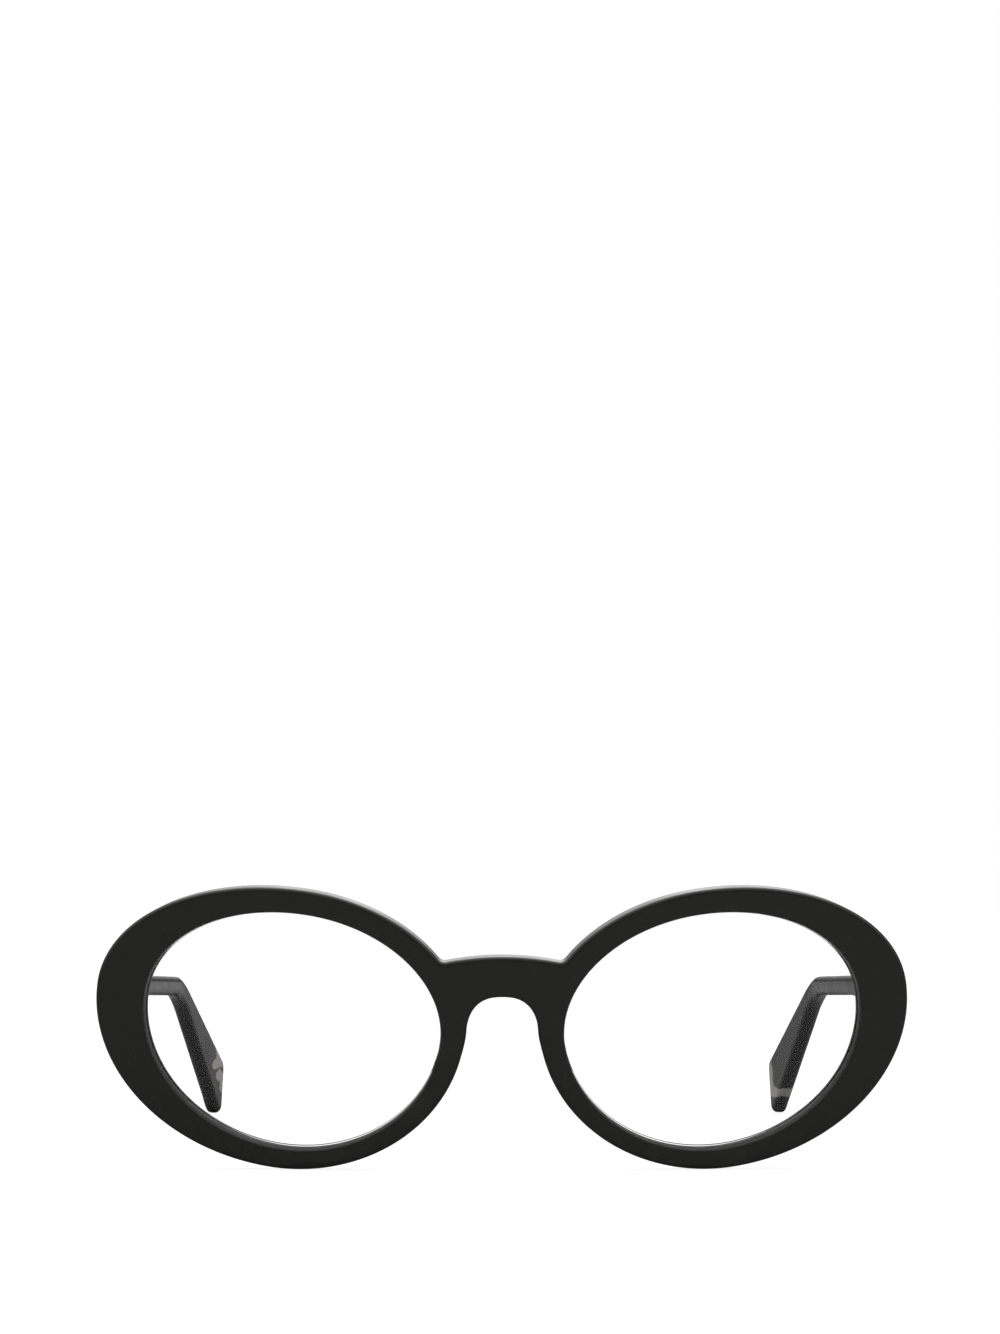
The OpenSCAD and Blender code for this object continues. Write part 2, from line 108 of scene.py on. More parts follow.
class FrontSizes(bpy.types.PropertyGroup):
    bend_r: length("Bend radius", "Radius of the sideways bend of the front's face", 340)
    thickness: length("Thickness", "Thickness of the front's sheet", 4.2)
    lean: angle("Lean", "Forward lean of the front's top", 6)
    rim_x: length("Rim centre", "Middle of the bridge to the centre of a rim", 36.4)
    rim_z: length("Rim height", "Height of the rim's centre above the front's middle", 2.6)
    rim_out: length("Rim outwards", "Reach of the rim towards the arm", 34.2)
    rim_in: length("Rim inwards", "Reach of the rim towards the nose", 30.2)
    rim_top: length("Rim upwards", "Reach of the rim upwards", 21.6)
    rim_bottom: length("Rim downwards", "Reach of the rim downwards", 26.6)
    rim_tilt: angle("Rim tilt", "Tilt of the rim's oval, outer end up", 8.2)
    open_x: length("Opening centre", "Middle of the bridge to the centre of the lens opening", 35.6)
    open_z: length("Opening height", "Height of the opening's centre above the front's middle", 1.7)
    open_out: length("Opening outwards", "Reach of the opening towards the arm", 26.5)
    open_in: length("Opening inwards", "Reach of the opening towards the nose", 25.2)
    open_top: length("Opening upwards", "Reach of the opening upwards", 18.2)
    open_bottom: length("Opening downwards", "Reach of the opening downwards", 22.2)
    open_tilt: angle("Opening tilt", "Tilt of the opening's oval", 10)
    bridge_top: length("Bridge top", "Height of the bridge's top edge at its middle", 12.9)
    bridge_r: length("Bridge arc", "Radius of the bridge's arched top edge", 50)
    arch_half: length("Nose arch half width", "Half width of the nose arch", 6.2)
    arch_top: length("Nose arch crown", "Height of the nose arch's crown", 5.9)
    arch_foot: length("Nose arch foot", "Height at which the nose arch's sides start", -1.5)
    arch_power: amount("Nose arch squareness", "2 makes an ellipse of it, more a squarer arch", 2.5)
    corner_r: length("Corner fillet", "Fillet in the corners between bridge and rims", 1.5)
    edge_r: length("Edge rounding", "Rounding of the outline's edges", 0.75)
    opening_r: length("Opening's edge rounding", "Rounding of the lens openings' edges", 0.45)
    spokes: count("Spokes", "Number of mesh columns round a rim", 288)


class LensSizes(bpy.types.PropertyGroup):
    curve_r: length("Curve radius", "Radius of the lens's front surface", 131)
    thickness: length("Thickness", "Thickness of a lens", 1.8)
    groove_depth: length("Groove depth", "Depth of the rim's groove for the lens", 0.75)
    edge_t: length("Edge thickness", "Thickness of the lens's edge in the groove", 0.8)
    gap: length("Clearance", "Clearance of the lens all round", 0.05)


class PadSizes(bpy.types.PropertyGroup):
    height: length("Height", "Height of a nose pad", 13)
    width: length("Width", "Width of a nose pad where it is bonded to the front", 3.8)
    depth: length("Depth", "How far a nose pad stands back from the front", 3.8)
    place: angle("Place", "Place of a pad along the rim's nose side", 190)
    flare: length("Flare", "How far a pad's crest flares away from the nose", 0.4)


class ArmSizes(bpy.types.PropertyGroup):
    root_t: length("Thickness at the hinge", "Thickness of an arm at its hinge", 3.6)
    tip_t: length("Thickness at the tip", "Thickness of an arm's tip", 3.0)
    root_h: length("Height at the hinge", "Height of an arm at its hinge", 6.8)
    bend_h: length("Slim height", "Height of an arm's slim part, up to the ear bend", 3.6)
    slim_at: length("Slim from", "Distance behind the joint at which an arm has become slim", 38)
    reach: length("Length to the bend", "Length of an arm from its hinge to the ear bend", 97)
    fall: length("Fall", "How far the straight part falls towards the ear bend", 2.7)
    lean: length("Lean", "How far the straight part leans in towards the ear bend", 4.3)
    gap: length("Joint gap", "Gap between the end block and the arm", 0.1)
    slope: angle("Tip slope", "Slope of the ear tip's underside", 37.5)
    turn: angle("Tip turn", "Angle at which the ear tip turns in behind the ear", 9.5)
    end_h: length("Tip end height", "Height of the tip's end", 10)
    slant: angle("Tip slant", "Backward slant of the tip's end", 14)
    low_r: length("Lower corner", "Radius of the tip's lowest corner", 1.7)
    high_r: length("Upper corner", "Radius of the tip's upper corner", 2.2)
    bend_r: length("Bend radius", "Inner radius of the ear bend", 22)
    turn_r: length("Turn radius", "Radius of the turn behind the ear, seen from above", 60)
    edge_r: length("Edge rounding", "Rounding of an arm's long edges", 1.2)


class Finishes(bpy.types.PropertyGroup):
    black: colour("Black acetate", "Colour of the front", (0.0122, 0.0118, 0.0106))
    havana_dark: colour("Havana, dark", "Darkest clouds of the arms", (0.0032, 0.0029, 0.0026))
    havana_mid: colour("Havana, middle", "Grey-brown clouds of the arms", (0.0105, 0.0095, 0.0088))
    havana_warm: colour("Havana, warm", "Brown veins of the arms", (0.032, 0.023, 0.018))
    havana_pale: colour("Havana, pale", "Pale patches near the tips", (0.42, 0.39, 0.36))
    metal: colour("Hinge metal", "Colour of the hinges", (0.62, 0.61, 0.58))
    screw: colour("Screw steel", "Colour of the screws and pins", (0.55, 0.55, 0.54))
    nylon: colour("Nylon", "Colour of the locking rings", (0.05, 0.12, 0.35))


class StageSettings(bpy.types.PropertyGroup):
    floor_size: length("Floor size", "Side of the square floor", 6000)
    camera_distance: length("Camera distance", "Distance from the bridge to the camera", 760)
    camera_height: angle("Camera height", "Angle of the camera above the bridge's level", 3)
    camera_side: angle("Camera side", "Angle of the camera towards the wearer's right", 0.45)
    camera_shift: length("Camera shift", "How far it stands to the wearer's right of that", 0.41)
    camera_raise: angle("Camera raise", "How far the camera looks above the bridge", 4.7)
    focal: bpy.props.FloatProperty(
        name="Focal length", description="Focal length for a 36 mm long side", default=119.88,
        unit="CAMERA")
    lamp_power: bpy.props.FloatProperty(
        name="Lamp power", description="Power of the large lamp overhead", default=4.0,
        unit="POWER")
    fill: amount("Fill light", "Strength of the even light from all round", 0.5)


# Editing by hand, in code

def nothing_selected():
    if bpy.context.mode != "OBJECT":
        bpy.ops.object.mode_set(mode="OBJECT")
    bpy.ops.object.select_all(action="DESELECT")


def only(obj):
    nothing_selected()
    obj.select_set(True)
    bpy.context.view_layer.objects.active = obj


def start(name, add, **settings):
    """Adds a primitive, puts its place in its mesh, and opens it with nothing selected."""
    nothing_selected()
    add(**settings)
    obj = bpy.context.object
    obj.name = obj.data.name = name
    bpy.ops.object.transform_apply(location=True, rotation=True, scale=True)
    edit(obj)
    bpy.ops.mesh.select_all(action="DESELECT")
    return obj


def edit(obj):
    only(obj)
    bpy.ops.object.mode_set(mode="EDIT")


def done():
    bpy.ops.object.mode_set(mode="OBJECT")


def pick(obj, kind, test):
    """Selects the vertices, edges or faces of the mesh in hand that pass a test."""
    bpy.ops.mesh.select_mode(type=kind)
    bpy.ops.mesh.select_all(action="DESELECT")
    mesh = bmesh.from_edit_mesh(obj.data)
    for item in {"VERT": mesh.verts, "EDGE": mesh.edges, "FACE": mesh.faces}[kind]:
        if test(item):
            item.select_set(True)
    mesh.select_flush_mode()
    bmesh.update_edit_mesh(obj.data)


def pick_points(obj, test):
    pick(obj, "VERT", lambda v: test(v.co))


def resize(value, centre):
    bpy.ops.transform.resize(value=value, center_override=centre, orient_type="GLOBAL")


def rotate(turn, axis, centre):
    """Turns what is selected clockwise as seen along the axis, as the operator does here."""
    bpy.ops.transform.rotate(
        value=turn, orient_axis=axis, center_override=centre, orient_type="GLOBAL")


def move(value):
    bpy.ops.transform.translate(value=value)


def extrude(value):
    bpy.ops.mesh.extrude_region_move(TRANSFORM_OT_translate={"value": value})


def bevel(obj, test, radius, segments):
    pick(obj, "EDGE", test)
    bpy.ops.mesh.bevel(
        offset=radius, offset_type="OFFSET", segments=segments, profile=0.5, affect="EDGES",
        clamp_overlap=False)


def outwards(obj):
    edit(obj)
    bpy.ops.mesh.select_all(action="SELECT")
    bpy.ops.mesh.remove_doubles(threshold=TINY)
    bpy.ops.mesh.normals_make_consistent(inside=False)
    done()


def modify(obj, kind, **settings):
    """Adds a modifier and applies it."""
    only(obj)
    modifier = obj.modifiers.new(kind.lower(), kind)
    for key, value in settings.items():
        setattr(modifier, key, value)
    bpy.ops.object.modifier_apply(modifier=modifier.name)


def place(obj, matrix):
    """Puts a piece in its place, and the place in its mesh."""
    only(obj)
    obj.matrix_world = matrix
    bpy.ops.object.transform_apply(location=True, rotation=True, scale=True)


def smooth(obj):
    """Smooth faces with sharp edges past 35 degrees, and flat faces kept flat."""
    only(obj)
    bpy.ops.object.shade_smooth_by_angle(angle=math.radians(35))
    modify(obj, "WEIGHTED_NORMAL", keep_sharp=True, weight=80)


def mirrored(obj):
    """A copy of a left piece for the right side, with its own mesh."""
    only(obj)
    bpy.ops.object.duplicate(linked=False)
    copy = bpy.context.object
    copy.name = copy.data.name = obj.name.replace("left", "right")
    place(copy, Matrix.Scale(-1, 4, (1, 0, 0)))
    outwards(copy)
    return copy


def pair(left):
    """A left piece and its mirror image, each with its side."""
    return (left, "left"), (mirrored(left), "right")


def sharp(edge):
    return len(edge.link_faces) == 2 and edge.calc_face_angle() > math.radians(50)


def close_solid(obj):
    """Stops the script if a piece has open edges or is inside out."""
    mesh = bmesh.new()
    mesh.from_mesh(obj.data)
    loose = sum(len(e.link_faces) != 2 for e in mesh.edges)
    volume = mesh.calc_volume(signed=True)
    mesh.free()
    if loose or volume <= 0:
        raise RuntimeError(
            f"{obj.name} isn't a closed solid: {loose} open edges, {volume * 1e9:.1f} mm3")


def give(obj, material):
    obj.data.materials.clear()
    obj.data.materials.append(material)


def mark(obj, name, test):
    """Remembers which faces pass a test, for a finish that they get once the piece is shaped."""
    marks = obj.data.attributes.new(name, "FLOAT", "FACE")
    for face in obj.data.polygons:
        marks.data[face.index].value = float(test(face))


def give_marked(obj, name, material):
    obj.data.materials.append(material)
    marks = obj.data.attributes[name].data
    for face in obj.data.polygons:
        face.material_index = int(marks[face.index].value > 0.5)


# Lines of the front, on the flat sheet: x sideways, y back from the face, z up

def oval_point(centre, reach, tilt, turn):
    out, inner, top, bottom = reach
    across = (out if math.cos(turn) > 0 else inner) * math.cos(turn)
    up = (top if math.sin(turn) > 0 else bottom) * math.sin(turn)
    return Vector((
        centre[0] + across * math.cos(tilt) - up * math.sin(tilt), 0,
        centre[1] + across * math.sin(tilt) + up * math.cos(tilt)))


def rim_at(s, turn):
    reach = (s.rim_out, s.rim_in, s.rim_top, s.rim_bottom)
    return oval_point((s.rim_x, s.rim_z), reach, s.rim_tilt, turn)


def opening_reach(s, margin=0.0):
    return [r + margin for r in (s.open_out, s.open_in, s.open_top, s.open_bottom)]


def opening_at(s, turn):
    return oval_point((s.open_x, s.open_z), opening_reach(s), s.open_tilt, turn)


def resample(points, steps):
    """Points at even distances along a line, its first one left out."""
    lengths = [0.0]
    for a, b in zip(points, points[1:]):
        lengths.append(lengths[-1] + (b - a).length)
    found, at = [], 0
    for i in range(1, steps + 1):
        want = lengths[-1] * i / steps
        while at < len(points) - 2 and lengths[at + 1] < want:
            at += 1
        share = (want - lengths[at]) / (lengths[at + 1] - lengths[at])
        found.append(points[at].lerp(points[at + 1], share))
    return found


def notch_turn(s):
    """Where the fillet of bridge and rim leaves the rim's oval, its centre and the bridge's."""
    low, high = math.radians(120), math.radians(165)  # the corner lies between these
    hub = Vector((0, 0, s.bridge_top - s.bridge_r))

    def centre(turn):
        along = rim_at(s, turn + NUDGE) - rim_at(s, turn - NUDGE)
        away = Vector((along.z, 0, -along.x)).normalized()
        return rim_at(s, turn) + away * s.corner_r

    for _ in range(60):
        middle = (low + high) / 2
        if (centre(middle) - hub).length > s.bridge_r + s.corner_r:
            low = middle
        else:
            high = middle
    return low, centre(low), hub


def leaves_rim(s, point, turn):
    """Whether a line from a point to the rim's oval still cuts into the oval there."""
    line, along = rim_at(s, turn) - point, rim_at(s, turn + NUDGE) - rim_at(s, turn)
    return line.x * along.z - line.z * along.x < 0


def bridge_lines(s, notch, centre, hub):
    """The fillet from the rim's oval to the bridge, and the bridge's arc on to the middle."""
    on_rim, on_arc = rim_at(s, notch) - centre, hub - centre
    if not 0 < on_rim.angle(on_arc) < math.pi:
        raise RuntimeError("the corner between bridge and rim has no fillet")
    fillet = [centre + on_rim.slerp(on_arc, k / 20).normalized() * s.corner_r for k in range(21)]
    touch = fillet[-1]
    spread = math.atan2(touch.x, touch.z - hub.z)
    swings = [spread * (1 - k / 40) for k in range(41)]
    return fillet, [hub + Vector((math.sin(a), 0, math.cos(a))) * s.bridge_r for a in swings]


def arch_line(s, foot, land):
    """The nose arch from its crown, led past its foot to where it meets the rim's oval."""
    arch = []
    for k in range(76):
        t = math.pi / 2 * (1 - k / 80)
        arch.append(Vector((
            s.arch_half * max(math.cos(t), 0) ** (2 / s.arch_power), 0,
            s.arch_foot + (s.arch_top - s.arch_foot) * math.sin(t) ** (2 / s.arch_power))))
    leave, shares = arch[-1], [k / 20 for k in range(1, 21)]
    return arch + [leave.lerp(foot, k).lerp(foot.lerp(land, k), k) for k in shares]


def outline(s):
    """One half of the front's outline and middle line, one point for each spoke."""
    step = math.tau / s.spokes
    turns = [(math.pi / 2 + i * step) % math.tau for i in range(s.spokes)]
    notch, centre, hub = notch_turn(s)
    foot = Vector((s.arch_half, 0, s.arch_foot))
    foot_turn = math.pi
    while leaves_rim(s, foot, foot_turn):
        foot_turn += 2 * NUDGE
    # The rim gives up some spokes before the notch, so that none crosses another near the arch
    given_up = 10
    beside_nose = [i for i, t in enumerate(turns) if notch < t < foot_turn]
    first, last = beside_nose[0] - given_up, beside_nose[-1]
    before = turns[first - 1]
    shoulder = [rim_at(s, before + (notch - before) * k / 40) for k in range(41)]
    fillet, bridge = bridge_lines(s, notch, centre, hub)
    middle = [Vector((0, 0, s.bridge_top)), Vector((0, 0, s.arch_top))]
    arch = arch_line(s, foot, rim_at(s, foot_turn))
    chain = []
    for line, spokes in ((shoulder, 4), (fillet, 5), (bridge, 6), (middle, 2)):
        chain += resample(line, spokes)
    chain += resample(arch, last - first + 2 - len(chain))[:-1]
    points = [rim_at(s, t) for t in turns]
    points[first:last + 1] = chain
    return points, [opening_at(s, t) for t in turns]


def pushed_out(points, shift):
    """A closed line's points moved away from its inside."""
    found = []
    for i, p in enumerate(points):
        along = points[(i + 1) % len(points)] - points[i - 1]
        found.append(p + Vector((along.z, 0, -along.x)).normalized() * shift)
    return found


def drawn_in(s, outer, inset):
    """The outline's points moved into the sheet; those on the middle line stay on it."""
    found = pushed_out(outer, -inset)
    on_middle = [i for i, p in enumerate(outer) if p.x < TINY]
    top, crown = Vector((0, 0, s.bridge_top - inset)), Vector((0, 0, s.arch_top + inset))
    for i in on_middle:
        found[i] = top.lerp(crown, (i - on_middle[0]) / (on_middle[-1] - on_middle[0]))
    return found


def face_rings(s, outer, opening):
    """Lines from the opening over the face to the outer edge, halfway through the sheet."""
    half = s.thickness / 2

    def rounded(line, radius, steps):
        rings = []
        for k in range(steps + 1):
            swing = math.pi / 2 * k / steps
            inset, depth = radius * (1 - math.cos(swing)), radius * (1 - math.sin(swing))
            rings.append([Vector((p.x, depth - half, p.z)) for p in line(inset)])
        return rings

    wall = rounded(lambda inset: pushed_out(opening, inset), s.opening_r, 3)
    edge = rounded(lambda inset: drawn_in(s, outer, inset), s.edge_r, 5)
    face = [[a.lerp(b, k / 4) for a, b in zip(wall[-1], edge[-1])] for k in (1, 2, 3)]
    return wall + face + edge[::-1] + [outer]


def on_bend(s, point):
    """Where a point of the flat face is once the sheet is bent."""
    swing = point.x / s.bend_r
    return Vector((s.bend_r * math.sin(swing), s.bend_r * (1 - math.cos(swing)), point.z))


def front_matrix(s):
    """Where the flat sheet's origin is once the front is bent, leans and stands on the table."""
    lean = Matrix.Rotation(s.lean, 4, "X")
    spots = [lean @ on_bend(s, rim_at(s, math.tau * i / 720)) for i in range(720)]
    low = FRONT_BOX[0]
    stand = (0, low.y - min(p.y for p in spots), low.z - min(p.z for p in spots))
    return Matrix.Translation(stand) @ lean


def lens_matrix(s, lens):
    """Middle of the sphere that a lens's front surface is part of."""
    on_face = Matrix.Translation(on_bend(s, Vector((s.open_x, 0, 0))))
    back = Matrix.Translation((0, lens.curve_r, s.open_z))
    return front_matrix(s) @ on_face @ Matrix.Rotation(s.open_x / s.bend_r, 4, "Z") @ back


# Pieces

def open_oval(name, s, reach, middle, points):
    """A circle drawn out into the opening's kind of oval, tilted, and open with all selected."""
    out, inner, top, bottom = reach
    obj = start(
        name, bpy.ops.mesh.primitive_circle_add, vertices=points, radius=out,
        fill_type="NOTHING", location=middle, rotation=(math.pi / 2, 0, 0))
    pick_points(obj, lambda p: p.x < middle[0] - TINY)
    resize((inner / out, 1, 1), middle)
    pick_points(obj, lambda p: p.z > middle[2] + TINY)
    resize((1, 1, top / out), middle)
    pick_points(obj, lambda p: p.z < middle[2] - TINY)
    resize((1, 1, bottom / out), middle)
    bpy.ops.mesh.select_all(action="SELECT")
    rotate(s.open_tilt, "Y", middle)
    return obj


def curved_oval(name, s, lens, margin, near, far):
    """An oval plate with the lens's curve between two depths, round the middle of its sphere."""
    r = lens.curve_r - near
    reach = [q * r / math.sqrt(r * r - q * q) for q in opening_reach(s, margin)]
    middle = (0, -r, 0)
    obj = open_oval(name, s, reach, middle, 144)
    for ring in range(12, 1, -1):
        bpy.ops.mesh.extrude_edges_move()
        share = (ring - 1) / ring
        resize((share, 1, share), middle)
    bpy.ops.mesh.merge(type="CENTER")
    done()
    modify(obj, "CAST", cast_type="SPHERE", factor=1, size=r, use_radius_as_size=False)
    modify(obj, "SOLIDIFY", thickness=far - near, offset=-1)
    return obj


def build_front(s, lens):
    """Both rims and the bridge, cut from one flat sheet, bent, leaned and grooved."""
    obj = open_oval("front", s, opening_reach(s), (s.open_x, 0, s.open_z), s.spokes)

    # Half the sheet's thickness is extruded ring by ring, from the opening to the outline
    outer, opening = outline(s)
    was = opening
    for ring in face_rings(s, outer, opening):
        bpy.ops.mesh.extrude_edges_move()
        mesh = bmesh.from_edit_mesh(obj.data)
        for vertex in [v for v in mesh.verts if v.select]:
            nearest = min(range(s.spokes), key=lambda i: (was[i] - vertex.co).length_squared)
            vertex.co = ring[nearest]
        bmesh.update_edit_mesh(obj.data)
        was = ring
    pick(obj, "FACE", lambda f: all(abs(v.co.x) < TINY for v in f.verts))
    bpy.ops.mesh.delete(type="FACE")
    done()
    modify(obj, "MIRROR", use_axis=(True, True, False), merge_threshold=TINY)
    outwards(obj)

    def by_opening(face):
        flat = Vector((abs(face.center.x), 0, face.center.z))
        return abs(face.normal.y) < 0.5 and min((flat - q).length for q in opening) < 0.001

    mark(obj, "sawn", by_opening)
    place(obj, Matrix.Translation((0, s.thickness / 2, 0)))
    wide = [v.co.x for v in obj.data.vertices]
    bend = (max(wide) - min(wide)) / s.bend_r
    modify(obj, "SIMPLE_DEFORM", deform_method="BEND", deform_axis="Z", angle=bend)
    place(obj, front_matrix(s))
    near = (lens.thickness - lens.edge_t) / 2 - lens.gap
    far = (lens.thickness + lens.edge_t) / 2 + lens.gap
    cutter = curved_oval("groove_left", s, lens, lens.groove_depth, near, far)
    place(cutter, lens_matrix(s, lens))
    outwards(cutter)
    for tool in (cutter, mirrored(cutter)):
        modify(obj, "BOOLEAN", object=tool, operation="DIFFERENCE", solver="EXACT")
        bpy.data.objects.remove(tool)
    outwards(obj)
    return obj


def build_lens(s, lens):
    """A curved plate with a tongue all round that sits in the rim's groove."""
    obj = curved_oval("lens_pane_left", s, lens, -lens.gap, 0, lens.thickness)
    front_r, back_r = lens.curve_r, lens.curve_r - lens.thickness

    def lies_at(distance, radius):
        return abs(distance - radius) < lens.thickness / 4

    def across(edge):
        near, far = sorted(v.co.length for v in edge.verts)
        return lies_at(near, back_r) and lies_at(far, front_r)

    edit(obj)
    pick(obj, "EDGE", across)
    bpy.ops.mesh.subdivide(number_cuts=2)
    middle_r = (front_r + back_r) / 2
    pick(obj, "FACE", lambda f: all(lies_at(v.co.length, middle_r) for v in f.verts))
    bpy.ops.mesh.extrude_region_shrink_fatten(
        TRANSFORM_OT_shrink_fatten={"value": lens.groove_depth * FATTEN})
    done()
    mark(obj, "ground", lambda f: abs(f.normal.dot(f.center.normalized())) < 0.7)
    place(obj, lens_matrix(s, lens))
    outwards(obj)
    return obj


def build_pad(s, pad):
    """A rounded ridge on the back of the rim's nose side."""

    def band(turn):
        return (rim_at(s, turn) + opening_at(s, turn)) / 2

    swing, sunk = math.radians(10), 0.0006
    above, below = band(pad.place - swing), band(pad.place + swing)
    tilt = math.atan2(below.x - above.x, above.z - below.z)
    seat = band(pad.place)
    level = s.thickness - sunk
    middle = Vector((seat.x, level, seat.z))
    obj = start(
        "pad_left", bpy.ops.mesh.primitive_circle_add, vertices=48, radius=pad.width / 2,
        fill_type="NGON", location=middle, rotation=(math.pi / 2, 0, 0))
    bpy.ops.mesh.select_all(action="SELECT")
    resize((1, 1, pad.height / pad.width), middle)
    rotate(tilt, "Y", middle)
    was_size, was_depth = 1.0, level
    # Each slice's share of the pad's depth, and its size beside the foot's
    slices = [(0.0, 1.0), (0.2, 0.975), (0.38, 0.925), (0.55, 0.86), (0.7, 0.78), (0.82, 0.69),
              (0.91, 0.585), (0.97, 0.47), (1.0, 0.33), (1.012, 0.17)]
    for share, size in slices:
        depth = s.thickness + share * pad.depth
        step = Vector((share * pad.flare - (middle.x - seat.x), depth - was_depth, 0))
        extrude(step)
        middle = middle + step
        resize((size / was_size, 1, size / was_size), middle)
        was_size, was_depth = size, depth
    bpy.ops.mesh.merge(type="CENTER")
    done()
    place(obj, front_matrix(s))
    outwards(obj)
    return obj


def build_block(arm):
    """The block that fills the corner between the front's back and the arm."""
    low, high = BLOCK_BOX
    sunk = 0.0009
    size = Vector((high.x - low.x, high.y - low.y + sunk, high.z - low.z))
    middle = Vector(((low.x + high.x) / 2, (low.y - sunk + high.y) / 2, (low.z + high.z) / 2))
    obj = start("block_left", bpy.ops.mesh.primitive_cube_add, size=1, location=middle, scale=size)

    def along_depth(edge):
        return abs(edge.verts[0].co.y - edge.verts[1].co.y) > size.y / 2

    bevel(obj, lambda e: all(v.co.y > high.y - TINY for v in e.verts), FINE_R, 2)
    bevel(obj, lambda e: sharp(e) and along_depth(e), arm.edge_r, 5)
    done()
    outwards(obj)
    return obj


# Lines of an arm, from the side: y back and z up, as vectors with x = 0

def bend_points(before, corner, after, radius, steps):
    """Points of the arc that rounds a corner."""
    u, v = (before - corner).normalized(), (after - corner).normalized()
    half = u.angle(v) / 2
    centre = corner + (u + v).normalized() * radius / math.sin(half)
    first = corner + u * radius / math.tan(half) - centre
    last = corner + v * radius / math.tan(half) - centre
    return [centre + first.slerp(last, i / steps).normalized() * radius for i in range(steps + 1)]


def meet(p, u, q, v):
    """Where two lines in the side view cross."""
    cross = u.y * v.z - u.z * v.y
    share = ((q - p).y * v.z - (q - p).z * v.y) / cross
    return p + u * share


def side_of(y, z):
    return Vector((0, y, z))


def arm_stations(arm):
    """Pairs of a lower and an upper point, from the joint to the end of the tip."""
    root_y = PIN.y + arm.gap
    root_low = side_of(root_y, PIN.z - arm.root_h / 2)
    root_top = side_of(root_y, PIN.z + arm.root_h / 2)
    bend_low = side_of(PIN.y + arm.reach, PIN.z - arm.fall - arm.bend_h / 2)
    bend_top = bend_low + side_of(arm.bend_h * math.tan(arm.slope / 2), arm.bend_h)
    down = side_of(math.cos(arm.slope), -math.sin(arm.slope))
    touch_z = arm.low_r - arm.low_r * math.cos(arm.slope)
    touch = side_of(bend_low.y + (bend_low.z - touch_z) / math.tan(arm.slope), touch_z)
    centre = touch + side_of(arm.low_r * math.sin(arm.slope), arm.low_r - touch_z)
    up = side_of(math.sin(arm.slant), math.cos(arm.slant))
    end_low = centre + side_of(
        arm.low_r * math.cos(-arm.slant), arm.low_r * math.sin(-arm.slant))
    end_top = end_low + up * (arm.end_h - end_low.z) / math.cos(arm.slant)
    corner = meet(touch, down, end_low, up)
    slim_top = root_top.lerp(bend_top, arm.slim_at / (bend_top.y - root_y))
    slim_low = slim_top - side_of(0, arm.bend_h)
    low = bend_points(slim_low, bend_low, corner, arm.bend_r, 10)
    high = bend_points(root_top, bend_top, end_top, arm.bend_r + arm.bend_h, 10)
    taper_r = 0.15
    soft = bend_points(root_low, slim_low, bend_low, taper_r, 4)
    under = [root_low.lerp(soft[0], i / 4) for i in range(4)] + soft
    under += [soft[-1].lerp(low[0], i / 5) for i in range(1, 5)]
    straight = low[0].y - root_y
    stations = [(p, root_top.lerp(high[0], (p.y - root_y) / straight)) for p in under]
    stations += list(zip(low, high))
    stations += [(low[-1].lerp(corner, i / 6), high[-1].lerp(end_top, i / 6)) for i in range(1, 7)]
    return stations


def draw_out(arm, stations, outer):
    """An arm's side drawn out from station to station, and then its thickness."""
    was_low, was_top = stations[0]
    high = (was_top - was_low).length
    middle = (was_low + was_top) / 2 + Vector((outer, 0, 0))
    obj = start("arm_left", bpy.ops.mesh.primitive_plane_add, size=high, location=middle,
                rotation=(0, math.pi / 2, 0))
    # The plane becomes the first stretch: both its edges go to the joint, and one moves on
    pick_points(obj, lambda p: p.y < middle.y)
    move((0, high / 2, 0))
    pick_points(obj, lambda p: p.y > middle.y + TINY)
    move((0, -high / 2, 0))
    for i, (low, top) in enumerate(stations[1:]):
        if i:
            bpy.ops.mesh.extrude_edges_move()
        was_middle = (was_low + was_top) / 2 + Vector((outer, 0, 0))
        middle = (low + top) / 2 + Vector((outer, 0, 0))
        move(middle - was_middle)
        was_line, line = was_top - was_low, top - low
        swing = math.atan2(was_line.z, was_line.y) - math.atan2(line.z, line.y)
        rotate(swing, "X", middle)
        grow = line.length / was_line.length
        resize((1, grow, grow), middle)
        was_low, was_top = low, top
    bpy.ops.mesh.select_all(action="SELECT")
    extrude((-arm.root_t, 0, 0))
    done()
    outwards(obj)
    return obj


def round_end(obj, arm, stations):
    """Rounds the two corners of the tip's end."""

    def at_corner(point):
        return lambda e: all((Vector((0, v.co.y, v.co.z)) - point).length < 1e-5 for v in e.verts)

    corner, end_top = stations[-1]
    end = (end_top - corner).normalized()
    under = (stations[-2][0] - corner).normalized()
    over = (stations[-2][1] - end_top).normalized()
    bevel(obj, at_corner(corner), CORNER * arm.low_r / math.tan(end.angle(under) / 2), 8)
    bevel(obj, at_corner(end_top), arm.high_r / math.tan((-end).angle(over) / 2), 8)


def thin_out(obj, arm, outer, root_y, bend_y):
    """Makes the arm thinner towards the bend, and even from there on."""
    thin = math.atan2(arm.root_t - arm.tip_t, bend_y - root_y)
    pick_points(obj, lambda p: p.x < outer - arm.root_t / 2 and p.y > root_y + TINY)
    rotate(thin, "Z", (outer - arm.root_t, root_y, 0))
    pick_points(obj, lambda p: p.x < outer - arm.tip_t / 2 and p.y > bend_y)
    rotate(-thin, "Z", (outer - arm.tip_t, bend_y, 0))


